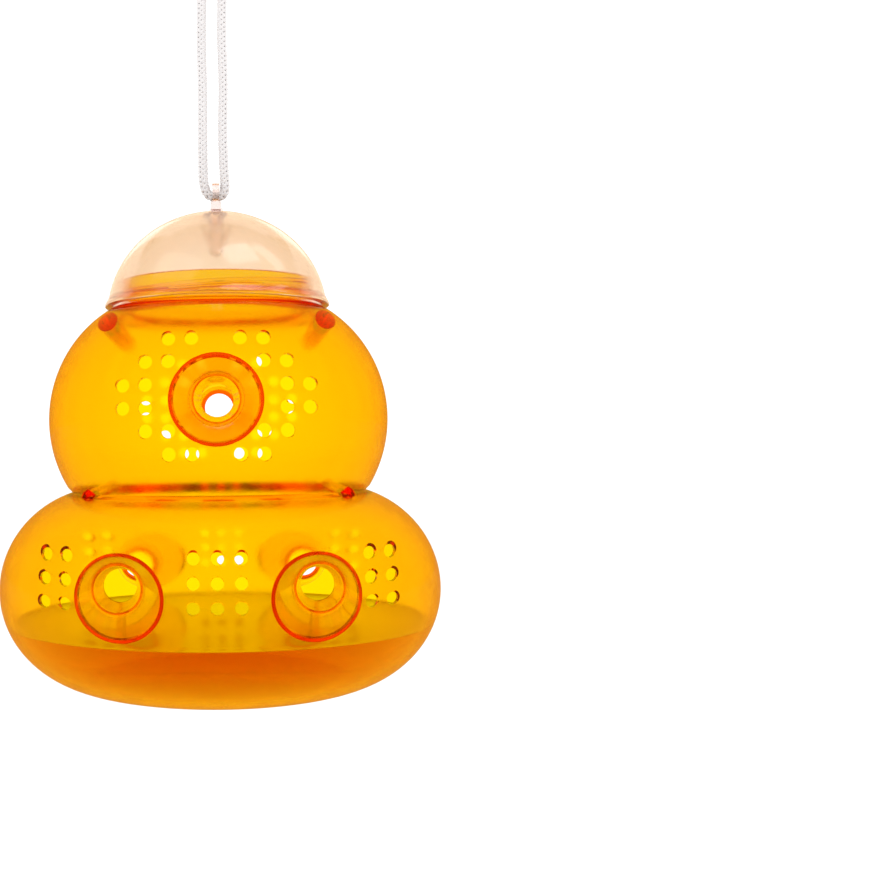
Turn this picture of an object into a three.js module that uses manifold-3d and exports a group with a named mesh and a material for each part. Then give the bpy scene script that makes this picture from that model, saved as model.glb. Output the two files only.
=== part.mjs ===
// Hanging wasp trap: two amber half-shells with six entry funnels, a screw-on dome cap,
// a swivelling hanger, a knotted cord loop and a pool of bait liquid.
// Millimetres, +Z up, -Y is the front. Heights in the constants are above the foot of the trap;
// the whole model is then lowered so that the origin is where the cord loop hangs.
import * as THREE from "three";
import { mergeVertices } from "three/addons/utils/BufferGeometryUtils.js";
import Module from "manifold-3d";

const wasm = await Module();
wasm.setup();

// Body, above the foot
const HANG_HEIGHT = 307;
const WALL = 2.2;
const FOOT_Z = 0;
const LOWER = { r: 36, z: 31, a: 34, up: 32.3, down: 31.5 };
const MIDDLE = { r: 14, z: 84.3, a: 40.1, up: 41, down: 41 };
const WAIST_Z = 61.6;
const WAIST_RIB = { r: 43.2, low: 58.8, high: 61.3 };
const NECK_R = 30.6;
const NECK_TOP = 128;
const NECK_ROOT = { outerR: 34, innerR: 31, z: 117, taperTop: 119.4 };
const ROUND_STEPS = 32;
const PARTING_GAP = 0.3;

// Pin and socket posts that join the half-shells
const SHOULDER_POST = { x: 32, z: 112.5, r: 3.2, pin: 1.5 };
const WAIST_POST = { x: 38, z: 60.7, r: 2.6, pin: 1.2, reach: 29.5 };
const PIN_LENGTH = 3;
const FIT_GAP = 0.3;

// Entry funnels: a cone from the shell to the throat, a small ledge, then a tapering tube.
// throat and mouth are distances from the parting plane; lean moves the cone's mouth towards X = 0.
const FUNNEL_WALL = 1;
const THROAT_R = 7.3;
const LEDGE = 0.6;
const TUBE_LENGTH = 11;
const TUBE_END_R = 4.9;
const TUBE_END_WALL = 1.5;
const MIDDLE_FUNNEL = { x: 0, z: 89.3, throat: 40, mouth: 57, slope: 0.42, lean: 0 };
const LOWER_FUNNEL = { x: 28.9, z: 35.1, throat: 45, mouth: 74, slope: 0.225, lean: 0.05 };

// Vents: first is each row's first column, from the top row down
const MIDDLE_VENT = { r: 2, x: 6.86, z: 89.76, pitch: 6.56, first: [0, 1, 2, 2, 1, 0] };
const LOWER_VENT = { r: 1.8, z: 39, pitch: 6.42, sideX: 42.2 };

// Two-start quick thread between neck and cap
const LEAD = 9;
const RIDGE_R = 31.7;
const RIDGE_Z = 124.65;
const RIDGE_HALF_ANGLE = 70;
const LUG_R = 30.95;
const LUG_HALF_ANGLE = 25;
const THREAD_HALF_HEIGHT = 0.6;
const LUG_DROP = 1.55;

// Cap
const CAP = { z: 118, a: 35.2, b: 33, wall: 1.6 };
const CAP_RIM_Z = 120.5;
const CAP_RIM_R = 36;
const CAP_HOLE_R = 2.5;

// Hanger
const EYE_Z = 156.5;
const EYE_R = 4;
const EYE_HOLE_R = 2.1;
const EYE_THICKNESS = 2.2;
const STOP = { width: 3.1, depth: 9.2, bottom: 151.35, top: 153.9 };
const SHANK_R = 2.2;
const SHANK_BOTTOM = 137.2;

// Bait
const LIQUID_TOP = 21;
const LIQUID_GAP = 0.7;

// Cord: a loop through the hanger's eye, its ends joined by a knot on the right strand
const CORD_R = 1.5;
const KNOT_Z = 268;
const KNOT_R = 4.2;
const KNOT_HALF = 5.2;

const AMBER = { color: 0xf7a60a, roughness: 0.12, metalness: 0 };

function toSolid(geometry) {
  const plain = geometry.index ? geometry.toNonIndexed() : geometry.clone();
  plain.deleteAttribute("normal");
  plain.deleteAttribute("uv");
  const merged = mergeVertices(plain, 1e-5);
  return new wasm.Manifold(
    new wasm.Mesh({
      numProp: 3,
      vertProperties: new Float32Array(merged.attributes.position.array),
      triVerts: new Uint32Array(merged.index.array),
    }),
  );
}

function toMesh(name, solid, look) {
  const found = solid.getMesh();
  const geometry = new THREE.BufferGeometry();
  geometry.setAttribute("position", new THREE.BufferAttribute(found.vertProperties.slice(), 3));
  geometry.setIndex(new THREE.BufferAttribute(found.triVerts.slice(), 1));
  geometry.computeVertexNormals();
  const mesh = new THREE.Mesh(geometry, new THREE.MeshStandardMaterial(look));
  mesh.name = name;
  return mesh;
}

// Points of an elliptical wall between two heights, going up; inset moves it inward
function wallArc(tier, zFrom, zTo, steps, inset = 0) {
  const angle = (z) => {
    const b = (z < tier.z ? tier.down : tier.up) - inset;
    return Math.asin(Math.max(-1, Math.min(1, (z - tier.z) / b)));
  };
  const points = [];
  for (let i = 0; i <= steps; i++) {
    const t = angle(zFrom) + ((angle(zTo) - angle(zFrom)) * i) / steps;
    const b = (t < 0 ? tier.down : tier.up) - inset;
    points.push([tier.r + (tier.a - inset) * Math.cos(t), tier.z + b * Math.sin(t)]);
  }
  return points;
}

// Height at which a tier's wall reaches a radius on its way up
function heightAt(tier, r, inset = 0) {
  const share = (r - tier.r) / (tier.a - inset);
  return tier.z + (tier.up - inset) * Math.sqrt(1 - share * share);
}

function revolve(points, steps = ROUND_STEPS) {
  const profile = points.map(([r, z]) => new THREE.Vector2(r, z));
  const geometry = new THREE.LatheGeometry(profile, steps);
  geometry.rotateX(Math.PI / 2);
  return toSolid(geometry);
}

function box(width, depth, height, x, y, z) {
  const geometry = new THREE.BoxGeometry(width, depth, height);
  geometry.translate(x, y, z);
  return toSolid(geometry);
}

// A round rod along Y
function rodY(r, x, z, yFrom, yTo, sides) {
  const geometry = new THREE.CylinderGeometry(r, r, yTo - yFrom, sides);
  geometry.translate(x, (yFrom + yTo) / 2, z);
  return toSolid(geometry);
}

// A round solid along Y from pairs of radius and distance in front of the parting plane
function roundAlongY(points, x, z, side, steps) {
  const profile = points.map(([r, d]) => new THREE.Vector2(r, d));
  const geometry = new THREE.LatheGeometry(profile, steps);
  if (side < 0) geometry.rotateX(Math.PI);
  geometry.translate(x, 0, z);
  return toSolid(geometry);
}

// A piece of thread between two radii, rising by LEAD per turn, centred on an angle in degrees
function threadPiece(rIn, rOut, z, centreAngle, halfAngle, steps) {
  const positions = [];
  const faces = [];
  for (let i = 0; i <= steps; i++) {
    const offset = halfAngle * ((2 * i) / steps - 1);
    const t = THREE.MathUtils.degToRad(centreAngle + offset);
    const height = z + (LEAD * offset) / 360;
    for (const [r, dz] of [
      [rIn, -THREAD_HALF_HEIGHT],
      [rOut, -THREAD_HALF_HEIGHT],
      [rOut, THREAD_HALF_HEIGHT],
      [rIn, THREAD_HALF_HEIGHT],
    ]) {
      positions.push(r * Math.cos(t), r * Math.sin(t), height + dz);
    }
  }
  for (let i = 0; i < steps; i++) {
    for (let k = 0; k < 4; k++) {
      const a = i * 4 + k;
      const b = i * 4 + ((k + 1) % 4);
      faces.push(a, b, a + 4, b, b + 4, a + 4);
    }
  }
  const end = steps * 4;
  faces.push(0, 2, 1, 0, 3, 2);
  faces.push(end, end + 1, end + 2, end, end + 2, end + 3);
  const geometry = new THREE.BufferGeometry();
  geometry.setAttribute("position", new THREE.Float32BufferAttribute(positions, 3));
  geometry.setIndex(faces.map((_, i) => faces[i - (i % 3) + [0, 2, 1][i % 3]]));
  return toSolid(geometry);
}

function outerProfile() {
  return [
    [0, FOOT_Z],
    ...wallArc(LOWER, FOOT_Z, WAIST_Z, 12),
    ...wallArc(MIDDLE, WAIST_Z, heightAt(MIDDLE, NECK_R), 9).slice(1),
    [NECK_R, NECK_TOP],
    [0, NECK_TOP],
  ];
}

function innerProfile() {
  const neckR = NECK_R - WALL;
  return [
    [0, WALL],
    ...wallArc(LOWER, WALL, WAIST_RIB.low, 9, WALL),
    [WAIST_RIB.r, WAIST_RIB.low],
    [WAIST_RIB.r, WAIST_RIB.high],
    ...wallArc(MIDDLE, WAIST_RIB.high, heightAt(MIDDLE, NECK_ROOT.outerR, WALL), 7, WALL),
    [NECK_ROOT.innerR, NECK_ROOT.z],
    [neckR, NECK_ROOT.taperTop],
    [neckR, NECK_TOP + 5],
    [0, NECK_TOP + 5],
  ];
}

const outerBody = revolve(outerProfile());
const ridges = [90, 270].map((angle) =>
  threadPiece(NECK_R - 0.8, RIDGE_R, RIDGE_Z, angle, RIDGE_HALF_ANGLE, 9),
);
let hollowBody = outerBody.subtract(revolve(innerProfile()));
for (const ridge of ridges) hollowBody = hollowBody.add(ridge);

// Inner radius of a funnel at a distance in front of the parting plane
function funnelRadius(funnel, distance) {
  return THROAT_R + funnel.slope * (distance - funnel.throat);
}

// A round solid along Y at a funnel's place, its part outside the throat leaning towards X = 0
function leaning(profile, funnel, x, side) {
  const lean = -Math.sign(x) * funnel.lean;
  return roundAlongY(profile, x, funnel.z, -side, 20).warp((v) => {
    v[0] += lean * Math.max(0, Math.abs(v[1]) - funnel.throat);
  });
}

// side is 1 for the front half and -1 for the rear
function makeFunnel(funnel, x, side) {
  const { throat, mouth } = funnel;
  const end = throat - TUBE_LENGTH;
  const wall = [
    [funnelRadius(funnel, mouth), mouth],
    [THROAT_R, throat],
    [THROAT_R - LEDGE, throat - 0.1],
    [TUBE_END_R, end],
    [TUBE_END_R + TUBE_END_WALL, end],
    [THROAT_R + FUNNEL_WALL, throat],
    [funnelRadius(funnel, mouth) + FUNNEL_WALL, mouth],
  ];
  wall.push(wall[0]);
  return leaning(wall, funnel, x, side).intersect(outerBody);
}

function funnelSeat(funnel, x, side) {
  const r = (d) => funnelRadius(funnel, d) + FUNNEL_WALL + FIT_GAP;
  const start = funnel.throat + 4;
  const profile = [
    [0, start],
    [r(start), start],
    [r(funnel.mouth), funnel.mouth],
    [0, funnel.mouth],
  ];
  return leaning(profile, funnel, x, side);
}

function ventHoles(side) {
  const holes = [];
  const near = side > 0 ? -80 : 20;
  const far = side > 0 ? -20 : 80;
  MIDDLE_VENT.first.forEach((first, row) => {
    const z = MIDDLE_VENT.z + MIDDLE_VENT.pitch * (2.5 - row);
    for (const column of [first, first + 1]) {
      const x = MIDDLE_VENT.x + MIDDLE_VENT.pitch * column;
      holes.push(rodY(MIDDLE_VENT.r, x, z, near, far, 8));
      holes.push(rodY(MIDDLE_VENT.r, -x, z, near, far, 8));
    }
  });
  const { pitch, sideX } = LOWER_VENT;
  for (const row of [-1, 0, 1]) {
    const z = LOWER_VENT.z + pitch * row;
    for (const x of [-pitch, 0, pitch, sideX, -sideX, sideX + pitch, -sideX - pitch]) {
      holes.push(rodY(LOWER_VENT.r, x, z, near, far, 8));
    }
  }
  return holes;
}

function makeShell(side) {
  const half = box(200, 100, 200, 0, -side * (50 + PARTING_GAP / 2), 65);
  let shell = hollowBody;
  for (const x of [SHOULDER_POST.x, -SHOULDER_POST.x]) {
    const { r, z } = SHOULDER_POST;
    shell = shell.add(rodY(r, x, z, -45, 45, 12).intersect(outerBody));
  }
  // The waist posts' flat ends stand out of the crease
  for (const x of [WAIST_POST.x, -WAIST_POST.x]) {
    const { r, z, reach } = WAIST_POST;
    shell = shell.add(rodY(r, x, z, -reach, reach, 12));
  }
  shell = shell.intersect(half);
  for (const x of [-LOWER_FUNNEL.x, LOWER_FUNNEL.x]) {
    shell = shell.subtract(funnelSeat(LOWER_FUNNEL, x, side));
  }
  shell = shell.subtract(funnelSeat(MIDDLE_FUNNEL, 0, side));
  for (const hole of ventHoles(side)) shell = shell.subtract(hole);
  for (const post of [SHOULDER_POST, WAIST_POST]) {
    for (const x of [post.x, -post.x]) {
      const pin = rodY(post.pin, x, post.z, -1, PIN_LENGTH, 12);
      const socket = rodY(post.pin + FIT_GAP, x, post.z, -1, PIN_LENGTH + 1, 12);
      shell = side > 0 ? shell.add(pin) : shell.subtract(socket);
    }
  }
  return shell;
}

function makeCap() {
  const outer = [[0, CAP_RIM_Z], [CAP_RIM_R, CAP_RIM_Z], [CAP_RIM_R, CAP_RIM_Z + 0.6]];
  const inner = [[0, CAP_RIM_Z - 1]];
  const innerA = CAP.a - CAP.wall;
  const innerB = CAP.b - CAP.wall;
  const steps = 9;
  const start = Math.asin((CAP_RIM_Z + 2 - CAP.z) / CAP.b);
  for (let i = 0; i <= steps; i++) {
    const t = start + ((Math.PI / 2 - start) * i) / steps;
    outer.push([i === steps ? 0 : CAP.a * Math.cos(t), CAP.z + CAP.b * Math.sin(t)]);
  }
  inner.push([innerA, CAP_RIM_Z - 1]);
  for (let i = 0; i <= steps; i++) {
    const t = start + ((Math.PI / 2 - start) * i) / steps;
    inner.push([i === steps ? 0 : innerA * Math.cos(t), CAP.z + innerB * Math.sin(t)]);
  }
  const bore = new THREE.CylinderGeometry(CAP_HOLE_R, CAP_HOLE_R, 20, 24);
  bore.rotateX(Math.PI / 2);
  bore.translate(0, 0, CAP.z + CAP.b);
  let cap = revolve(outer).subtract(revolve(inner)).subtract(toSolid(bore));
  for (const angle of [90, 270]) {
    cap = cap.add(threadPiece(LUG_R, 33.4, RIDGE_Z - LUG_DROP, angle, LUG_HALF_ANGLE, 6));
  }
  return cap;
}

function makeHanger() {
  const eye = new THREE.Shape();
  const foot = STOP.depth / 2;
  eye.moveTo(-foot, STOP.bottom);
  eye.lineTo(foot, STOP.bottom);
  eye.lineTo(EYE_R, EYE_Z);
  eye.absarc(0, EYE_Z, EYE_R, 0, Math.PI, false);
  eye.closePath();
  const hole = new THREE.Path();
  hole.absarc(0, EYE_Z, EYE_HOLE_R, 0, Math.PI * 2, true);
  eye.holes.push(hole);
  const plate = new THREE.ExtrudeGeometry(eye, {
    depth: EYE_THICKNESS,
    bevelEnabled: false,
    curveSegments: 12,
  });
  plate.translate(0, 0, -EYE_THICKNESS / 2);
  plate.rotateX(Math.PI / 2);
  plate.rotateZ(Math.PI / 2);
  const height = STOP.top - STOP.bottom;
  const stop = box(STOP.width, STOP.depth, height, 0, 0, STOP.bottom + height / 2);
  const stem = revolve(
    [
      [0, SHANK_BOTTOM],
      [1.2, SHANK_BOTTOM],
      [SHANK_R, SHANK_BOTTOM + 1.4],
      [SHANK_R, STOP.bottom + 1],
      [0, STOP.bottom + 1],
    ],
    24,
  );
  let hanger = toSolid(plate).add(stop).add(stem);
  for (const side of [-1, 1]) {
    const barb = new THREE.BoxGeometry(1.4, 3.4, 9.6);
    barb.translate(0, 0, 4.8);
    barb.rotateY(side * 0.42);
    barb.translate(side * 0.6, 0, SHANK_BOTTOM + 1.2);
    hanger = hanger.add(toSolid(barb));
  }
  return hanger;
}

function makeLiquid() {
  const inset = WALL + LIQUID_GAP;
  const wall = wallArc(LOWER, inset, LIQUID_TOP, 6, inset);
  return revolve([[0, inset], ...wall, [0, LIQUID_TOP]]);
}

function makeCord() {
  const top = HANG_HEIGHT + CORD_R;
  const eyeBottom = EYE_Z - 0.35;
  const route = [
    [3.4, KNOT_Z + KNOT_HALF + 0.3],
    [4.6, 281],
    [6.6, 291],
    [7.4, 299],
    [5.6, top - 2.4],
    [0, top],
    [-5.6, top - 2.4],
    [-7.4, 299],
    [-6.4, 289],
    [-4.3, 276],
    [-3.6, 262],
    [-3.9, 244],
    [-3.8, 226],
    [-4.2, 208],
    [-4, 190],
    [-4.1, 174],
    [-4.1, 165.5],
    [-3.9, 161],
    [-2.7, 157.3],
    [0, eyeBottom],
    [2.4, 157.15],
    [2.95, 160],
    [2.7, 164.5],
    [2.4, 176],
    [2.7, 192],
    [2.4, 210],
    [2.9, 228],
    [2.9, 246],
    [3.4, KNOT_Z - KNOT_HALF - 0.3],
  ];
  const path = new THREE.CatmullRomCurve3(
    route.map(([x, z]) => new THREE.Vector3(x, 0, z)),
    false,
    "centripetal",
  );
  const ring = new THREE.Shape();
  for (let i = 0; i < 8; i++) {
    const t = (i * Math.PI) / 4;
    ring[i ? "lineTo" : "moveTo"](CORD_R * Math.cos(t), CORD_R * Math.sin(t));
  }
  ring.closePath();
  return toSolid(new THREE.ExtrudeGeometry(ring, { steps: 80, extrudePath: path }));
}

function makeKnot() {
  return revolve(
    [
      [0, KNOT_Z - KNOT_HALF],
      [2.2, KNOT_Z - KNOT_HALF],
      [KNOT_R - 0.4, KNOT_Z - 2.6],
      [KNOT_R, KNOT_Z],
      [KNOT_R - 0.4, KNOT_Z + 2.6],
      [2.2, KNOT_Z + KNOT_HALF],
      [0, KNOT_Z + KNOT_HALF],
    ],
    12,
  ).translate([3.4 + 0.9, 0, 0]);
}

const trap = new THREE.Group();
trap.name = "wasp_trap";
trap.position.z = -HANG_HEIGHT;

const body = new THREE.Group();
body.name = "trap_body";
trap.add(body);
const sides = [
  ["front", 1],
  ["rear", -1],
];
for (const [word, side] of sides) {
  body.add(toMesh(`${word}_shell`, makeShell(side), AMBER));
}
for (const [word, side] of sides) {
  const look = { ...AMBER, color: 0xf08c14 };
  body.add(toMesh(`${word}_funnel_upper`, makeFunnel(MIDDLE_FUNNEL, 0, side), look));
  for (const [hand, x] of [
    ["left", -LOWER_FUNNEL.x],
    ["right", LOWER_FUNNEL.x],
  ]) {
    body.add(toMesh(`${word}_funnel_lower_${hand}`, makeFunnel(LOWER_FUNNEL, x, side), look));
  }
}
body.add(
  toMesh("bait_liquid", makeLiquid(), { color: 0xc86408, roughness: 0.05, metalness: 0 }),
);

trap.add(toMesh("cap_dome", makeCap(), { color: 0xf2cfa6, roughness: 0.35, metalness: 0 }));

const hanging = new THREE.Group();
hanging.name = "hanging_parts";
trap.add(hanging);
hanging.add(toMesh("hanger", makeHanger(), { color: 0xefc0a0, roughness: 0.3, metalness: 0 }));
const white = { color: 0xeeecec, roughness: 0.9, metalness: 0 };
hanging.add(toMesh("cord", makeCord(), white));
hanging.add(toMesh("cord_knot", makeKnot(), white));

export default trap;
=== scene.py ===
import math

import bmesh
import bpy
from mathutils import Matrix, Vector


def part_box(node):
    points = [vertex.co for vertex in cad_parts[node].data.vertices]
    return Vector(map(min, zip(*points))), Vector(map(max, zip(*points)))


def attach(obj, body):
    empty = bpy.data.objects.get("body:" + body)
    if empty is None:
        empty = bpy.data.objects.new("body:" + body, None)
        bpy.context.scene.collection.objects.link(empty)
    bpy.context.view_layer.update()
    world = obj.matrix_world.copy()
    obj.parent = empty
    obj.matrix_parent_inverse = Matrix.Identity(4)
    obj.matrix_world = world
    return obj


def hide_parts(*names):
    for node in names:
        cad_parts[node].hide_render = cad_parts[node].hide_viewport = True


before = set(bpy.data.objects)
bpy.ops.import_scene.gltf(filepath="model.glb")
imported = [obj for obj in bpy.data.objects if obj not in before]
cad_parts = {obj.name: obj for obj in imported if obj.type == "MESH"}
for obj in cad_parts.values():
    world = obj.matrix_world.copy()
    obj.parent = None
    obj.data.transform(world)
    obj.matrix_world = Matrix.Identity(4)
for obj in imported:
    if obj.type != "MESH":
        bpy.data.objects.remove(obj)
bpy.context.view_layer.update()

MM = 0.001
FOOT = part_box("front_shell")[0][2]  # every height below is above the trap's foot

# ---------------------------------------------------------------- camera

CAMERA_DISTANCE = 0.377  # in front of the trap's axis
CAMERA_HEIGHT = 0.0742
CAMERA_LENS = 47.03
CAMERA_SHIFT = 0.2554, 0.0085
CAMERA_TURN = math.radians(0.625)
CAMERA_ROLL = math.radians(-0.613)

camera = bpy.data.objects.new("camera", bpy.data.cameras.new("camera"))
bpy.context.scene.collection.objects.link(camera)
bpy.context.scene.camera = camera
camera.data.lens = CAMERA_LENS
camera.data.sensor_width = 36
camera.data.shift_x, camera.data.shift_y = CAMERA_SHIFT
camera.data.clip_start = 0.01
camera.matrix_world = (
    Matrix.Rotation(CAMERA_TURN, 4, "Z")
    @ Matrix.Translation((0, -CAMERA_DISTANCE, FOOT + CAMERA_HEIGHT))
    @ Matrix.Rotation(math.radians(90), 4, "X")
    @ Matrix.Rotation(CAMERA_ROLL, 4, "Z")
)


# ---------------------------------------------------------------- helpers

def at(x, y, z):
    """A point given in millimetres, with z above the foot, in the row frame."""
    return Vector((x * MM, y * MM, FOOT + z * MM))


def new_object(name, verts, faces):
    mesh = bpy.data.meshes.new(name)
    mesh.from_pydata([tuple(v) for v in verts], [], faces)
    mesh.validate()
    mesh.update()
    obj = bpy.data.objects.new(name, mesh)
    bpy.context.scene.collection.objects.link(obj)
    return obj


def drop(obj):
    bpy.data.objects.remove(obj, do_unlink=True)


def combine(obj, other, operation, keep=False):
    """Boolean of two objects, applied to the first."""
    modifier = obj.modifiers.new("boolean", "BOOLEAN")
    modifier.operation = operation
    modifier.solver = "MANIFOLD"
    modifier.object = other
    graph = bpy.context.evaluated_depsgraph_get()
    graph.update()
    mesh = bpy.data.meshes.new_from_object(obj.evaluated_get(graph))
    obj.modifiers.clear()
    old = obj.data
    obj.data = mesh
    bpy.data.meshes.remove(old)
    mesh.name = obj.name
    if not keep:
        drop(other)
    return obj


def joined(name, objects):
    """One object from several that don't overlap."""
    whole = bmesh.new()
    for obj in objects:
        whole.from_mesh(obj.data)
        drop(obj)
    mesh = bpy.data.meshes.new(name)
    whole.to_mesh(mesh)
    whole.free()
    result = bpy.data.objects.new(name, mesh)
    bpy.context.scene.collection.objects.link(result)
    return result


def revolved(name, profile, steps, place):
    """A closed solid turned from (radius, height) points; place maps x, y, z to a point."""
    closed = profile[0][0] > 1e-6
    verts, rings = [], []
    for r, z in profile:
        if r < 1e-6:
            rings.append([len(verts)] * steps)
            verts.append(place(0, 0, z))
        else:
            rings.append(list(range(len(verts), len(verts) + steps)))
            for k in range(steps):
                t = 2 * math.pi * k / steps
                verts.append(place(r * math.cos(t), r * math.sin(t), z))
    faces = []
    pairs = list(zip(rings, rings[1:] + rings[:1])) if closed else list(zip(rings, rings[1:]))
    for low, high in pairs:
        for k in range(steps):
            n = (k + 1) % steps
            face = []
            for v in (low[k], low[n], high[n], high[k]):
                if v not in face:
                    face.append(v)
            if len(face) > 2:
                faces.append(face)
    obj = new_object(name, verts, faces)
    face_out(obj)
    return obj


def face_out(obj):
    work = bmesh.new()
    work.from_mesh(obj.data)
    bmesh.ops.recalc_face_normals(work, faces=work.faces)
    if work.calc_volume(signed=True) < 0:
        bmesh.ops.reverse_faces(work, faces=work.faces)
    work.to_mesh(obj.data)
    work.free()


def smooth(obj, degrees=35):
    for polygon in obj.data.polygons:
        polygon.use_smooth = True
    obj.data.set_sharp_from_angle(angle=math.radians(degrees))


def arc(ellipse, n):
    """n + 1 points of an ellipse arc: (centre r, centre z, a, b, angle from, angle to)."""
    r0, z0, a, b, t0, t1 = ellipse
    steps = [t0 + (t1 - t0) * i / n for i in range(n + 1)]
    return [(r0 + a * math.cos(t), z0 + b * math.sin(t)) for t in steps]


# ---------------------------------------------------------------- shape of the body, in millimetres

WALL = 2.2
LOWER = dict(r=36, z=31, a=34, up=32.3, down=31.5)
MIDDLE = dict(r=14, z=84.3, a=40.1, up=41, down=41)
WAIST_Z = 61.6
RIB_R, RIB_LOW, RIB_HIGH = 43.2, 58.8, 61.3
NECK_R, NECK_TOP = 30.6, 128
ROOT = [(31, 117), (28.4, 119.4)]  # inner taper under the neck
ROOT_OUTER_R = 34
PARTING = 0.15  # each half stops this far from the plane Y = 0
LEAD = 9  # of the neck's thread
THREAD_Z = 124.65


def tier_points(tier, z_from, z_to, n, inset=0):
    def angle(z):
        b = (tier["down"] if z < tier["z"] else tier["up"]) - inset
        return math.asin(max(-1, min(1, (z - tier["z"]) / b)))

    points = []
    for i in range(n + 1):
        t = angle(z_from) + (angle(z_to) - angle(z_from)) * i / n
        b = (tier["down"] if t < 0 else tier["up"]) - inset
        points.append((tier["r"] + (tier["a"] - inset) * math.cos(t), tier["z"] + b * math.sin(t)))
    return points


def height_at(tier, r, inset=0):
    share = (r - tier["r"]) / (tier["a"] - inset)
    return tier["z"] + (tier["up"] - inset) * math.sqrt(1 - share * share)


def body_profile(inset):
    """Points of one side of the wall, from the axis to the neck's rim; both have equally many."""
    if inset:
        low = tier_points(LOWER, inset, RIB_LOW, 44, inset) + [(RIB_R, RIB_LOW), (RIB_R, RIB_HIGH)]
        top = height_at(MIDDLE, ROOT_OUTER_R, inset)
        mid = tier_points(MIDDLE, RIB_HIGH, top, 38, inset) + ROOT
    else:
        low = tier_points(LOWER, 0, WAIST_Z, 44)
        mid = tier_points(MIDDLE, WAIST_Z, height_at(MIDDLE, NECK_R), 43)[1:]
    foot = [(low[0][0] * i / 14, inset) for i in range(14)]
    r, top = mid[-1]
    return foot + low + mid + [(r, top + (NECK_TOP - top) * i / 8) for i in range(1, 9)]


def wall_normal(point):
    """Outward direction of the body's wall near a point in millimetres."""
    x, y, z = point
    r = math.hypot(x, y)
    if z < 1.5 * WALL and r < LOWER["r"] + 4:
        return Vector((0, 0, -1))
    if z > height_at(MIDDLE, NECK_R) - 0.5 and r < NECK_R + 0.2:
        return Vector((x / r, y / r, 0))
    tier = LOWER if z < (WAIST_Z + RIB_LOW) / 2 else MIDDLE
    b = tier["down"] if z < tier["z"] else tier["up"]
    nr = (r - tier["r"]) / tier["a"] ** 2
    nz = (z - tier["z"]) / b ** 2
    return Vector((nr * x / r, nr * y / r, nz)).normalized() if r > 1 else Vector((0, 0, 1))


def true_normals(obj):
    """Gives the wall its exact normals, so that cuts leave no dents in how it bends light."""
    smooth(obj, 30)
    mesh = obj.data
    normals = [(0.0, 0.0, 0.0)] * len(mesh.loops)
    for polygon in mesh.polygons:
        for loop in polygon.loop_indices:
            p = mesh.vertices[mesh.loops[loop].vertex_index].co
            n = wall_normal((p.x / MM, p.y / MM, (p.z - FOOT) / MM))
            agree = n.dot(polygon.normal)
            if abs(agree) > 0.96:
                normals[loop] = tuple(n if agree > 0 else -n)
    mesh.normals_split_custom_set(normals)


def outer_solid():
    profile = body_profile(0)
    return revolved("outer_solid", profile + [(0, NECK_TOP)], 160, at)


def half_shell(name, side):
    """side is -1 for the front and 1 for the rear."""
    steps = 80
    outer, inner = body_profile(0), body_profile(WALL)
    verts, faces = [], []

    def column(k):
        t = math.pi * k / steps
        return math.cos(t), side * math.sin(t)

    grids = []
    for profile in (outer, inner):
        grid = []
        for r, z in profile:
            row = []
            for k in range(steps + 1):
                c, s = column(k)
                y = r * s
                if k in (0, steps) or r < 1e-6:
                    y = side * PARTING
                row.append(len(verts))
                verts.append(at(r * c, y if abs(y) >= PARTING else side * PARTING, z))
                if r < 1e-6:
                    row = [row[0]] * (steps + 1)
                    break
            grid.append(row)
        grids.append(grid)

    def quad(*corners):
        face = []
        for v in corners:
            if v not in face:
                face.append(v)
        if len(face) > 2:
            faces.append(face)

    out, ins = grids
    last = len(out) - 1
    for i in range(last):
        for k in range(steps):
            quad(out[i][k], out[i][k + 1], out[i + 1][k + 1], out[i + 1][k])
            quad(ins[i][k], ins[i + 1][k], ins[i + 1][k + 1], ins[i][k + 1])
        for k in (0, steps):
            quad(out[i][k], out[i + 1][k], ins[i + 1][k], ins[i][k])
    for k in range(steps):
        quad(out[last][k], out[last][k + 1], ins[last][k + 1], ins[last][k])
    obj = new_object(name, verts, faces)
    face_out(obj)
    return obj


def rod_y(r, x, z, y_from, y_to, sides=24):
    def place(a, b, h):
        return at(x + a, h, z + b)

    return revolved("rod", [(0, y_from), (r, y_from), (r, y_to), (0, y_to)], sides, place)


def thread(name, r_in, r_out, z, centre, half_angle, steps, half_height=0.6, soft=0.2):
    """A rib of thread, its ends tapering off."""
    section = [(r_in, -1), (r_out - soft, -1), (r_out, -0.5)]
    section += [(r_out, 0.5), (r_out - soft, 1), (r_in, 1)]
    verts, faces = [], []
    for i in range(steps + 1):
        offset = half_angle * (2 * i / steps - 1)
        t = math.radians(centre + offset)
        lead = z + LEAD * offset / 360
        taper = min(1, 0.35 + min(i, steps - i) / 5)
        for r, h in section:
            radius = r if r == r_in else r_in + (r - r_in) * taper
            height = lead + h * half_height * taper
            verts.append(at(radius * math.cos(t), radius * math.sin(t), height))
    n = len(section)
    for i in range(steps):
        for k in range(n):
            a, b = i * n + k, i * n + (k + 1) % n
            faces.append((a, b, b + n, a + n))
    faces.append(tuple(range(n)))
    faces.append(tuple(range(steps * n, steps * n + n)))
    obj = new_object(name, verts, faces)
    face_out(obj)
    return obj


# ---------------------------------------------------------------- cord

ROUTE = [
    (0, 156.15), (-2.7, 157.3), (-3.9, 161), (-4.1, 165.5), (-4.1, 174), (-4, 190), (-4.2, 208),
    (-3.8, 226), (-3.9, 244), (-3.6, 262), (-4.3, 276), (-6.4, 289), (-7.4, 299), (-5.6, 306.1),
    (0, 308.5), (5.6, 306.1), (7.4, 299), (6.6, 291), (4.6, 281), (3.4, 273.5), (3.2, 268),
    (3.4, 262.5), (2.9, 246), (2.9, 228), (2.4, 210), (2.7, 192), (2.4, 176), (2.7, 164.5),
    (2.95, 160), (2.4, 157.15), (0, 156.15),
]
CORD_D = 3.0
CORD_CORE_R = 1.0
CORD_STEP = 0.35 * MM


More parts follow.
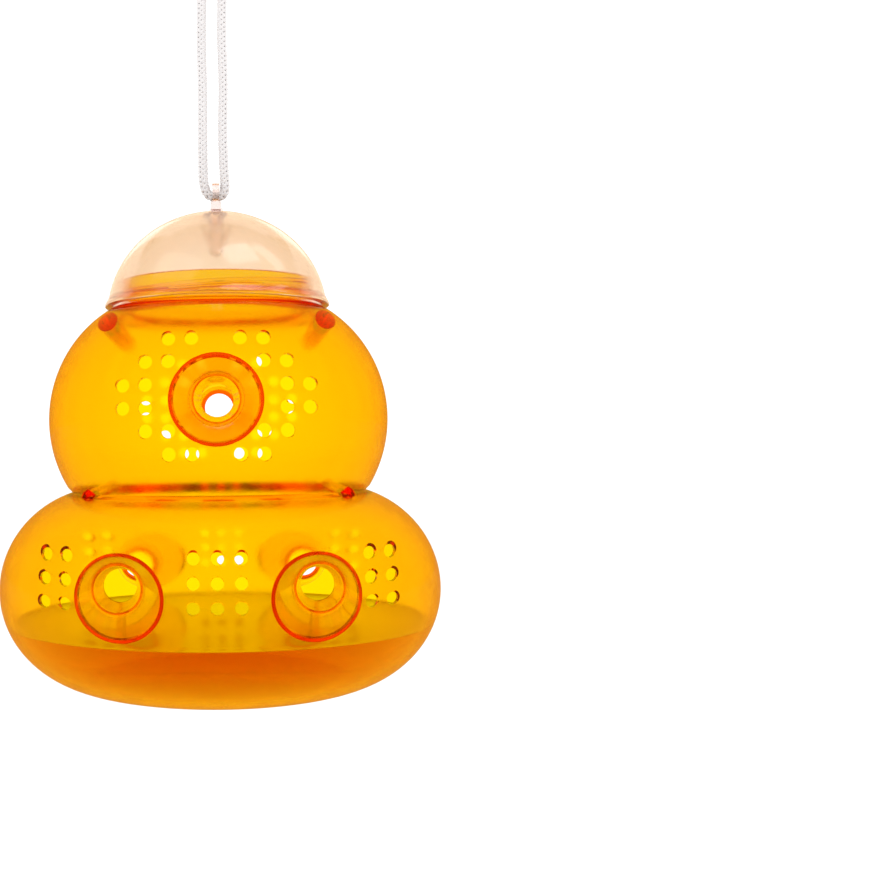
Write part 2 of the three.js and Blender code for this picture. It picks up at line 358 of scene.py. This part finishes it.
def bezier_route(points):
    """Handles that make the route one smooth curve through its points: centripetal tangents."""
    n = len(points)
    knots = [0.0]
    for p, q in zip(points, points[1:]):
        knots.append(knots[-1] + max((q - p).length, 1e-9) ** 0.5)
    found = []
    for i in range(n):
        if 0 < i < n - 1:
            a, b = knots[i] - knots[i - 1], knots[i + 1] - knots[i]
            slope = (
                (points[i] - points[i - 1]) / a
                - (points[i + 1] - points[i - 1]) / (a + b)
                + (points[i + 1] - points[i]) / b
            )
        elif i == 0:
            a = b = knots[1]
            slope = Vector((-1, 0, 0)) * (points[1] - points[0]).length / b
        else:
            a = b = knots[-1] - knots[-2]
            slope = Vector((-1, 0, 0)) * (points[-1] - points[-2]).length / a
        found.append((points[i] - slope * a / 3, points[i], points[i] + slope * b / 3))
    return found


def sample_route(handles, step):
    """Points along the curve, evenly spaced."""
    dense = []
    for (_, p, ph), (qh, q, _) in zip(handles, handles[1:]):
        for k in range(24):
            t = k / 24
            u = 1 - t
            dense.append(p * u ** 3 + ph * 3 * u * u * t + qh * 3 * u * t * t + q * t ** 3)
    dense.append(handles[-1][1])
    lengths = [0.0]
    for p, q in zip(dense, dense[1:]):
        lengths.append(lengths[-1] + (q - p).length)
    count = max(2, round(lengths[-1] / step))
    result, j = [], 0
    for k in range(count + 1):
        s = lengths[-1] * k / count
        while j < len(dense) - 2 and lengths[j + 1] < s:
            j += 1
        share = (s - lengths[j]) / max(lengths[j + 1] - lengths[j], 1e-12)
        result.append(dense[j].lerp(dense[j + 1], min(max(share, 0), 1)))
    return result, lengths[-1]


def frames_along(points):
    """Tangent, side and up at each point, without twist."""
    tangents = []
    for i in range(len(points)):
        a, b = points[max(i - 1, 0)], points[min(i + 1, len(points) - 1)]
        tangents.append((b - a).normalized())
    side = tangents[0].orthogonal().normalized()
    result = []
    for t in tangents:
        side = (side - t * side.dot(t)).normalized()
        result.append((t, side, t.cross(side)))
    return result


YARN_WIDE, YARN_THICK = 0.31, 0.25  # half sizes, in cord radii


def braid(name, points, radius, yarns=4, lay=6.2):
    """A loose tubular braid round a line: the flat yarns of each hand pass over and under."""
    frames = frames_along(points)
    step = (points[1] - points[0]).length
    verts, faces = [], []
    sides = 6
    for hand in (-1, 1):
        for j in range(yarns):
            centres, outs = [], []
            for i, (p, (t, a, b)) in enumerate(zip(points, frames)):
                s = i * step / MM / lay
                turn = hand * 2 * math.pi * s + 2 * math.pi * j / yarns
                lift = math.cos(2 * math.pi * s * yarns + hand * math.pi / 2)
                out = a * math.cos(turn) + b * math.sin(turn)
                centres.append(p + out * radius * (0.76 + 0.12 * lift))
                outs.append(out)
            base = len(verts)
            for i, (c, out) in enumerate(zip(centres, outs)):
                before, after = centres[max(i - 1, 0)], centres[min(i + 1, len(centres) - 1)]
                across = (after - before).normalized().cross(out).normalized()
                for k in range(sides):
                    w = 2 * math.pi * k / sides
                    wide, thick = YARN_WIDE * math.cos(w), YARN_THICK * math.sin(w)
                    verts.append(c + across * radius * wide + out * radius * thick)
            for i in range(len(centres) - 1):
                for k in range(sides):
                    n = (k + 1) % sides
                    a0, b0 = base + i * sides, base + (i + 1) * sides
                    faces.append((a0 + k, a0 + n, b0 + n, b0 + k))
            end = base + (len(centres) - 1) * sides
            faces.append(tuple(base + k for k in range(sides)))
            faces.append(tuple(end + k for k in range(sides)))
    obj = new_object(name, verts, faces)
    face_out(obj)
    smooth(obj, 60)
    return obj


route = bezier_route([at(x, 0, z) for x, z in ROUTE])
line, cord_length = sample_route(route, CORD_STEP)

curve = bpy.data.curves.new("cord_core", "CURVE")
curve.dimensions = "3D"
spline = curve.splines.new("BEZIER")
spline.bezier_points.add(len(route) - 1)
for point, (left, middle, right) in zip(spline.bezier_points, route):
    point.handle_left_type = point.handle_right_type = "FREE"
    point.co, point.handle_left, point.handle_right = middle, left, right
curve.bevel_depth = CORD_CORE_R * MM
curve.bevel_resolution = 4
curve.resolution_u = 16
cord_core = bpy.data.objects.new("cord_core", curve)
bpy.context.scene.collection.objects.link(cord_core)

cord_braid = braid("cord_braid", line, CORD_D / 2 * MM)

# The knot that joins the cord's two ends, with its tails
KNOT_X, KNOT_Z = 3.3, 268
KNOT_SPREAD, KNOT_RISE = 2.35 * 0.62, 3.1 * 0.8
knot_loop = []
for i in range(61):
    t = -0.72 * math.pi + 1.44 * math.pi * i / 60
    knot_x = KNOT_X + KNOT_SPREAD * (math.sin(t) + 1.25 * math.sin(2 * t))
    knot_y = KNOT_SPREAD * (math.cos(t) - 1.25 * math.cos(2 * t))
    knot_loop.append(at(knot_x, knot_y, KNOT_Z + KNOT_RISE * math.sin(3 * t)))
first_tail = [at(-0.4, -4.6, KNOT_Z - 11), at(0.2, -4.2, KNOT_Z - 6)]
second_tail = [at(6.4, -4.4, KNOT_Z - 5), at(7.2, -5.4, KNOT_Z - 11)]
knot_route = bezier_route(first_tail + knot_loop[2:-2:4] + second_tail)
knot_line, _ = sample_route(knot_route, CORD_STEP)
knot = braid("knot_fine", knot_line, CORD_D / 2 * MM)

# ---------------------------------------------------------------- half-shells

SHOULDER_POST = dict(x=32, z=112.5, r=3.2, reach=40)
WAIST_POST = dict(x=38, z=60.7, r=2.6, reach=29.5)
THROAT_R, LEDGE, FUNNEL_WALL = 7.3, 0.6, 1.0
TUBE_LENGTH, TUBE_END_R, TUBE_END_WALL = 11, 4.9, 1.5
UPPER = dict(x=0, z=89.3, throat=40, mouth=57, slope=0.42, lean=0)
LOWER_FUNNEL = dict(x=28.9, z=35.1, throat=45, mouth=74, slope=0.225, lean=0.05)
MIDDLE_VENT = dict(r=2.0, x=6.86, z=89.76, pitch=6.56)
LOWER_VENT = dict(r=1.8, z=39, pitch=6.42, side_x=42.2)


def funnel_r(funnel, distance):
    return THROAT_R + funnel["slope"] * (distance - funnel["throat"])


def leaning(name, profile, funnel, x, side, steps):
    """A round solid along Y whose mouth leans towards the middle."""
    lean = -math.copysign(funnel["lean"], x)

    def place(a, b, h):
        return at(x + a + lean * max(0, h - funnel["throat"]), side * h, funnel["z"] + b)

    return revolved(name, profile, steps, place)


def vent_cutters(side):
    near, far = sorted((side * 20, side * 80))
    cutters = []
    for row, first_column in enumerate([0, 1, 2, 2, 1, 0]):
        z = MIDDLE_VENT["z"] + MIDDLE_VENT["pitch"] * (2.5 - row)
        for column in (first_column, first_column + 1):
            x = MIDDLE_VENT["x"] + MIDDLE_VENT["pitch"] * column
            cutters += [rod_y(MIDDLE_VENT["r"], hand * x, z, near, far) for hand in (1, -1)]
    pitch, side_x = LOWER_VENT["pitch"], LOWER_VENT["side_x"]
    for row in (-1, 0, 1):
        z = LOWER_VENT["z"] + pitch * row
        for x in (-pitch, 0, pitch, side_x, -side_x, side_x + pitch, -side_x - pitch):
            cutters.append(rod_y(LOWER_VENT["r"], x, z, near, far))
    return cutters


def seat_cutter(funnel, x, side):
    extra = FUNNEL_WALL + 0.06
    start = funnel["throat"] + 4
    profile = [
        (0, start),
        (funnel_r(funnel, start) + extra, start),
        (funnel_r(funnel, funnel["mouth"]) + extra, funnel["mouth"]),
        (0, funnel["mouth"]),
    ]
    return leaning("seat", profile, funnel, x, side, 96)


def make_funnel(name, funnel, x, side, solid):
    throat, mouth = funnel["throat"], funnel["mouth"]
    end = throat - TUBE_LENGTH
    ledge_r = THROAT_R - LEDGE
    inner = [(TUBE_END_R, end + 0.3), (TUBE_END_R + 0.5, end + 4), (ledge_r - 0.5, throat - 3.5)]
    inner += [(ledge_r, throat - 0.35), (ledge_r + 0.25, throat - 0.12), (THROAT_R - 0.1, throat)]
    outer = [(TUBE_END_R + 0.3, end), (TUBE_END_R + TUBE_END_WALL - 0.3, end)]
    outer += [(TUBE_END_R + TUBE_END_WALL, end + 0.3), (THROAT_R + FUNNEL_WALL, throat)]
    for i in range(1, 13):
        d = throat + (mouth - throat) * i / 12
        inner.append((funnel_r(funnel, d), d))
        outer.append((funnel_r(funnel, d) + FUNNEL_WALL, d))
    body = leaning(name, inner[::-1] + outer, funnel, x, side, 96)
    combine(body, solid, "INTERSECT", keep=True)
    smooth(body, 30)
    return body


def make_shell(name, side, limit):
    shell = half_shell(name, side)
    posts = {}
    for kind, post in (("shoulder", SHOULDER_POST), ("waist", WAIST_POST)):
        near, far = sorted((side * PARTING, side * post["reach"]))
        rods = [rod_y(post["r"], x, post["z"], near, far, 40) for x in (post["x"], -post["x"])]
        posts[kind] = joined("posts", rods)
    combine(posts["shoulder"], limit, "INTERSECT", keep=True)
    for kind in ("shoulder", "waist"):
        combine(shell, posts[kind], "UNION")
    combine(shell, thread("rib", NECK_R - 0.8, 31.7, THREAD_Z, 90 * side, 70, 48), "UNION")
    cutters = vent_cutters(side)
    cutters.append(seat_cutter(UPPER, 0, side))
    for x in (-LOWER_FUNNEL["x"], LOWER_FUNNEL["x"]):
        cutters.append(seat_cutter(LOWER_FUNNEL, x, side))
    if side > 0:
        for post, bore in ((SHOULDER_POST, 1.8), (WAIST_POST, 1.5)):
            for x in (post["x"], -post["x"]):
                cutters.append(rod_y(bore, x, post["z"], -1, 4))
    combine(shell, joined("cutters", cutters), "DIFFERENCE")
    if side < 0:
        pins = []
        for post, r in ((SHOULDER_POST, 1.5), (WAIST_POST, 1.2)):
            for x in (post["x"], -post["x"]):
                pins.append(rod_y(r, x, post["z"], -1, 3))
        combine(shell, joined("pins", pins), "UNION")
    true_normals(shell)
    return shell


# The shoulder posts end just inside the wall's outer surface
SHY = 0.25
limit_points = tier_points(LOWER, 30, WAIST_Z, 20, SHY) + tier_points(MIDDLE, WAIST_Z, 118, 30, SHY)
limit = revolved("limit", [(0, 30)] + limit_points + [(0, 118)], 160, at)
front_shell = make_shell("front_shell_fine", -1, limit)
rear_shell = make_shell("rear_shell_fine", 1, limit)
drop(limit)
solid = outer_solid()
funnels = {}
for word, side in (("front", -1), ("rear", 1)):
    node = f"{word}_funnel_upper"
    funnels[node] = make_funnel(f"{node}_fine", UPPER, 0, side, solid)
    for hand, x in (("left", -LOWER_FUNNEL["x"]), ("right", LOWER_FUNNEL["x"])):
        node = f"{word}_funnel_lower_{hand}"
        funnels[node] = make_funnel(f"{node}_fine", LOWER_FUNNEL, x, side, solid)
drop(solid)

# ---------------------------------------------------------------- bait liquid

LIQUID_TOP, LIQUID_GAP = 21, -0.15  # in optical contact with the wall
liquid_wall = tier_points(LOWER, WALL + LIQUID_GAP, LIQUID_TOP, 30, WALL + LIQUID_GAP)
top_r = liquid_wall[-1][0]
MENISCUS = 2.6  # how far in from the wall the surface curves
meniscus = [
    (top_r - 0.25, LIQUID_TOP),
    (top_r - 1.1, LIQUID_TOP - 0.35),
    (top_r - MENISCUS, LIQUID_TOP - 0.55),
]
floor_points = [(liquid_wall[0][0] * i / 6, WALL + LIQUID_GAP) for i in range(6)]
surface = [((top_r - MENISCUS) * (5 - i) / 6, LIQUID_TOP - 0.6) for i in range(6)]
liquid = revolved("bait_liquid_fine", floor_points + liquid_wall + meniscus + surface, 128, at)
smooth(liquid, 50)

# ---------------------------------------------------------------- cap

CAP_Z, CAP_A, CAP_B = 118, 35.2, 33
CAP_WALL, CAP_RIM, CAP_RIM_R, CAP_HOLE = 1.6, 120.5, 36, 2.5


def cap_arc(inset, n, low, r_hole):
    a, b = CAP_A - inset, CAP_B - inset
    return arc((0, CAP_Z, a, b, math.asin((low - CAP_Z) / b), math.acos(r_hole / a)), n)


rim = [(0.15, 0), (0, 0.15), (0, 0.6), (0.12, 0.95), (0.4, 1.4), (0.75, 2.0)]
outside = [(CAP_RIM_R - cut, CAP_RIM + up) for cut, up in rim]
outside += cap_arc(0, 48, CAP_RIM + 3.2, CAP_HOLE)
inside = cap_arc(CAP_WALL, 44, CAP_RIM + 2, CAP_HOLE)[::-1] + [(CAP_A - CAP_WALL, CAP_RIM)]
cap = revolved("cap_dome_fine", outside + inside, 160, at)
lugs = [thread("lug", 33.3, 30.95, THREAD_Z - 1.55, a, 25, 20, soft=-0.2) for a in (90, 270)]
combine(cap, joined("lugs", lugs), "UNION")
smooth(cap, 35)

# ---------------------------------------------------------------- hanger

EYE_Z, EYE_R, EYE_HOLE, PLATE = 156.5, 4.0, 2.1, 2.2
STOP_WIDTH, STOP_DEPTH, STOP_LOW, STOP_TOP = 3.1, 9.2, 151.35, 153.9
SHANK_R, SHANK_LOW = 2.2, 137.2


def slab(name, half_width, outline):
    """A flat piece with an outline of y, z pairs, half_width to each side along X."""
    n = len(outline)
    verts = [at(s * half_width, y, z) for s in (-1, 1) for y, z in outline]
    faces = [tuple(range(n)), tuple(range(n, 2 * n))]
    faces += [(k, (k + 1) % n, n + (k + 1) % n, n + k) for k in range(n)]
    obj = new_object(name, verts, faces)
    face_out(obj)
    return obj


def eye_plate():
    foot = STOP_DEPTH / 2
    outline = [(-foot + 0.05, STOP_LOW + 0.05), (foot - 0.05, STOP_LOW + 0.05)]
    outline.append((EYE_R + 0.3, STOP_TOP))
    outline += arc((0, EYE_Z, EYE_R, EYE_R, 0, math.pi), 24)
    outline.append((-EYE_R - 0.3, STOP_TOP))
    plate = slab("hanger_fine", PLATE / 2, outline)
    block = [(-foot, STOP_LOW), (foot, STOP_LOW)]
    block += [(EYE_R + 0.32, STOP_TOP), (-EYE_R - 0.32, STOP_TOP)]
    combine(plate, slab("stop", STOP_WIDTH / 2, block), "UNION")

    def place(a, b, h):
        return at(h, a, EYE_Z + b)

    hole = revolved("hole", [(0, -3), (EYE_HOLE, -3), (EYE_HOLE, 3), (0, 3)], 32, place)
    return combine(plate, hole, "DIFFERENCE")


hanger = eye_plate()
stem_points = [(0, SHANK_LOW), (0.9, SHANK_LOW + 0.1)]
stem_points += [(1.7, SHANK_LOW + 0.6), (SHANK_R, SHANK_LOW + 1.6)]
stem_points += [(SHANK_R, STOP_LOW + 1), (0, STOP_LOW + 1)]
combine(hanger, revolved("stem", stem_points, 48, at), "UNION")
BARB_LENGTH, BARB_LEAN = 9.6, 0.42
barb_section = [(-0.7, -1.7), (0.7, -1.7), (0.7, 1.7), (-0.7, 1.7)]
for side in (-1, 1):
    foot = Vector((side * 0.6, 0, SHANK_LOW + 1.2))
    turn = Matrix.Rotation(side * BARB_LEAN, 3, "Y")
    corners = [turn @ Vector((x, y, z)) + foot for z in (0, BARB_LENGTH) for x, y in barb_section]
    barb = new_object(
        "barb",
        [at(*c) for c in corners],
        [(0, 1, 2, 3), (4, 5, 6, 7), (0, 1, 5, 4), (1, 2, 6, 5), (2, 3, 7, 6), (3, 0, 4, 7)],
    )
    face_out(barb)
    combine(hanger, barb, "UNION")
bevel = hanger.modifiers.new("edges", "BEVEL")
bevel.width = 0.3 * MM
bevel.segments = 2
bevel.limit_method = "ANGLE"
bevel.angle_limit = math.radians(50)
smooth(hanger, 40)

# ---------------------------------------------------------------- materials


def material(name):
    found = bpy.data.materials.new(name)
    found.use_nodes = True
    nodes, links = found.node_tree.nodes, found.node_tree.links
    return found, nodes, links, nodes["Principled BSDF"]


def noise(nodes, links, scale, detail=3.0, stretch=(1, 1, 1)):
    coordinate = nodes.new("ShaderNodeTexCoord")
    mapping = nodes.new("ShaderNodeMapping")
    mapping.inputs["Scale"].default_value = stretch
    texture = nodes.new("ShaderNodeTexNoise")
    texture.inputs["Scale"].default_value = scale
    texture.inputs["Detail"].default_value = detail
    links.new(coordinate.outputs["Object"], mapping.inputs["Vector"])
    links.new(mapping.outputs["Vector"], texture.inputs["Vector"])
    return texture.outputs["Fac"]


def spread(nodes, links, source, low, high, start=0.3, stop=0.7):
    found = nodes.new("ShaderNodeMapRange")
    found.inputs["From Min"].default_value = start
    found.inputs["From Max"].default_value = stop
    found.inputs["To Min"].default_value = low
    found.inputs["To Max"].default_value = high
    links.new(source, found.inputs["Value"])
    return found.outputs["Result"]


def blend(nodes, links, source, first, second):
    found = nodes.new("ShaderNodeMixRGB")
    found.inputs["Color1"].default_value = (*first, 1)
    found.inputs["Color2"].default_value = (*second, 1)
    links.new(source, found.inputs["Fac"])
    return found.outputs["Color"]


def bump(nodes, links, source, shader, strength, distance):
    found = nodes.new("ShaderNodeBump")
    found.inputs["Strength"].default_value = strength
    found.inputs["Distance"].default_value = distance
    links.new(source, found.inputs["Height"])
    links.new(found.outputs["Normal"], shader.inputs["Normal"])
    return found


def absorbing(nodes, links, sigma):
    """Light loses exp(-sigma) of red, green and blue in each metre inside."""
    density = max(sigma)
    absorb = nodes.new("ShaderNodeVolumeAbsorption")
    absorb.inputs["Color"].default_value = (*(1 - k / density for k in sigma), 1)
    absorb.inputs["Density"].default_value = density
    links.new(absorb.outputs["Volume"], nodes["Material Output"].inputs["Volume"])


def clear_plastic(name, tint, glint, sigma, rough, wave, clear=1):
    """Clear moulded plastic: light is coloured by how far it travels inside."""
    found, nodes, links, shader = material(name)
    shader.inputs["Transmission Weight"].default_value = clear
    shader.inputs["IOR"].default_value = 1.49
    shader.inputs["Specular Tint"].default_value = (*glint, 1)
    absorbing(nodes, links, sigma)
    fine = noise(nodes, links, 160, 4)
    colour = blend(nodes, links, fine, [0.985 * c for c in tint], tint)
    links.new(colour, shader.inputs["Base Color"])
    links.new(spread(nodes, links, fine, rough[0], rough[1]), shader.inputs["Roughness"])
    flow = noise(nodes, links, 38, 2, (1, 1, 0.45))
    bump(nodes, links, flow, shader, wave, 0.0001)
    return found


WHITE = (1, 1, 1)
AMBER_GLINT = (1, 0.6, 0.0)
amber = clear_plastic(
    "amber_clear", (1, 0.97, 0.2), AMBER_GLINT, (0, 132, 2500), (0.06, 0.12), 0.3
)
amber_funnel = clear_plastic(
    "amber_funnel", (1, 0.6, 0.1), AMBER_GLINT, (0, 75, 2500), (0.06, 0.12), 0.3
)
peach = clear_plastic(
    "peach_clear", (0.94, 0.88, 0.84), WHITE, (1, 50, 130), (0.12, 0.18), 0.3
)
hanger_look = clear_plastic(
    "hanger_clear", (0.97, 0.9, 0.87), WHITE, (2, 12, 14), (0.1, 0.2), 0.3, clear=0.94
)

BAIT_SIGMA = (4, 15, 400)


def bait_look(name, low, high, clear, ior):
    """Orange bait: its body is coloured by depth; its top surface has an opaque colour of its own,
    painted sheen in place of the light that surface reflects.
    """
    found, nodes, links, shader = material(name)
    absorbing(nodes, links, BAIT_SIGMA)
    ripple = noise(nodes, links, 60, 2)
    links.new(blend(nodes, links, ripple, low, high), shader.inputs["Base Color"])
    shader.inputs["Transmission Weight"].default_value = clear
    shader.inputs["IOR"].default_value = ior
    shader.inputs["Specular Tint"].default_value = (1, 0.6, 0.0, 1)
    links.new(spread(nodes, links, ripple, 0.02, 0.06), shader.inputs["Roughness"])
    bump(nodes, links, ripple, shader, 0.3, 0.0001)
    return found


bait = bait_look("bait_liquid", (1, 0.95, 0.7), (1, 0.98, 0.8), 1, 1.01)
# The bait's top is opaque yellow-orange: painted sheen in place of the light its surface reflects.
bait_top_painted_sheen = bait_look("bait_top_painted_sheen", (1, 0.86, 0.01), (1, 0.93, 0.02), 0, 1.5)

cotton, nodes, links, shader = material("braid_white")
fibre = noise(nodes, links, 2600, 4, (1, 1, 0.35))
colour = blend(nodes, links, fibre, (0.76, 0.74, 0.75), (0.92, 0.9, 0.9))
links.new(colour, shader.inputs["Base Color"])
links.new(spread(nodes, links, fibre, 0.55, 0.8), shader.inputs["Roughness"])
shader.inputs["Sheen Weight"].default_value = 0.1
bump(nodes, links, fibre, shader, 0.5, 0.0001)

# The core is grey so that it shows as painted shade in the gaps between the white yarns.
core, nodes, links, shader = material("cord_core_painted_shade")
shade = noise(nodes, links, 1500, 3)
colour = blend(nodes, links, shade, (0.5, 0.48, 0.49), (0.6, 0.58, 0.59))
links.new(colour, shader.inputs["Base Color"])
shader.inputs["Roughness"].default_value = 0.8

LOOKS = [
    (front_shell, amber), (rear_shell, amber), (cap, peach), (hanger, hanger_look),
    (liquid, bait), (cord_core, core), (cord_braid, cotton), (knot, cotton),
]
LOOKS += [(piece, amber_funnel) for piece in funnels.values()]
for piece, look in LOOKS:
    piece.data.materials.clear()
    piece.data.materials.append(look)
# Faces that point up take the second material, the painted sheen of the bait's top.
liquid.data.materials.append(bait_top_painted_sheen)
for polygon in liquid.data.polygons:
    if polygon.normal.z > 0.5:
        polygon.material_index = 1

# ---------------------------------------------------------------- riding and replacing

for piece, node, slot in (
    (front_shell, "front_shell", "amber_shell"),
    (rear_shell, "rear_shell", "amber_shell"),
    (liquid, "bait_liquid", "bait"),
):
    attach(piece, "trap_body")
    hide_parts(node)
for node, piece in funnels.items():
    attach(piece, "trap_body")
    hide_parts(node)
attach(cap, "cap")
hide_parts("cap_dome")
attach(hanger, "hanging_parts")
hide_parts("hanger")
for piece in (cord_core, cord_braid, knot):
    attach(piece, "hanging_parts")
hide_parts("cord")
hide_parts("cord_knot")
at(0, 0, EYE_Z)

# ---------------------------------------------------------------- floor and light

FLOOR_DROP = 0.16
FLOOR_HALF = 12.0
corners = [(-1, -1), (1, -1), (1, 1), (-1, 1)]
floor_z = FOOT - FLOOR_DROP
floor_verts = [(FLOOR_HALF * x, FLOOR_HALF * y, floor_z) for x, y in corners]
floor = new_object("floor", floor_verts, [(0, 1, 2, 3)])
pale, nodes, links, shader = material("floor_pale")
grain = noise(nodes, links, 30, 3)
shader.inputs["Roughness"].default_value = 0.9
shader.inputs["Specular IOR Level"].default_value = 0.1
floor.data.materials.append(pale)

world = bpy.data.worlds.new("studio")
bpy.context.scene.world = world
world.use_nodes = True


SEEN, MIRRORED = (1, 1, 1), (0.62, 0.3, 0.03)


def flagged(tree, target):
    """White as seen and as light, but warm and dimmer where a glossy surface mirrors it."""
    rays = tree.nodes.new("ShaderNodeLightPath")
    both = tree.nodes.new("ShaderNodeMath")
    both.operation = "MULTIPLY"
    tree.links.new(rays.outputs["Is Reflection Ray"], both.inputs[0])
    tree.links.new(rays.outputs["Is Glossy Ray"], both.inputs[1])
    tree.links.new(blend(tree.nodes, tree.links, both.outputs["Value"], SEEN, MIRRORED), target)


background = world.node_tree.nodes["Background"]
background.inputs["Strength"].default_value = 1.2
flagged(world.node_tree, background.inputs["Color"])
whiteness = blend(nodes, links, grain, (0.95, 0.95, 0.95), (1, 1, 1))
flagged(pale.node_tree, shader.inputs["Base Color"])
flag = shader.inputs["Base Color"].links[0].from_node
links.new(whiteness, flag.inputs["Color1"])

lit = bpy.data.collections.new("lit_by_softboxes")
for piece in (cap, hanger):
    lit.objects.link(piece)


def softbox(name, direction, width, height, radiance):
    """A light one metre from the cap, mirrored by the cap and the hanger only."""
    target = at(0, 0, 135)
    place = target + Vector(direction).normalized()
    light = bpy.data.lights.new(name, "AREA")
    light.shape = "RECTANGLE"
    light.size, light.size_y = width, height
    light.energy = radiance * math.pi * width * height
    obj = bpy.data.objects.new(name, light)
    bpy.context.scene.collection.objects.link(obj)
    aim = (target - place).to_track_quat("-Z", "Y")
    obj.matrix_world = Matrix.Translation(place) @ aim.to_matrix().to_4x4()
    obj.light_linking.receiver_collection = lit
    obj.visible_camera = False
    obj.visible_transmission = False
    return obj


softbox("softbox_right", (0.31, -0.35, 0.88), 0.5, 0.42, 3.5)
softbox("softbox_far_right", (0.66, -0.06, 0.78), 0.22, 0.5, 2.5)
softbox("softbox_left", (-0.56, -0.43, 0.71), 0.8, 0.5, 1)
softbox("rim_left", (-0.65, 0.75, 0.2), 1, 1, 0.9)
softbox("rim_right", (0.65, 0.75, 0.2), 1, 1, 0.9)
softbox("rim_top", (0, 0.75, 0.7), 1, 0.8, 0.9)

scene = bpy.context.scene
scene.view_settings.view_transform = "Standard"
scene.cycles.max_bounces = 48
scene.cycles.transmission_bounces = 48
scene.cycles.glossy_bounces = 16
scene.cycles.diffuse_bounces = 8
scene.cycles.transparent_max_bounces = 16
scene.cycles.volume_bounces = 0
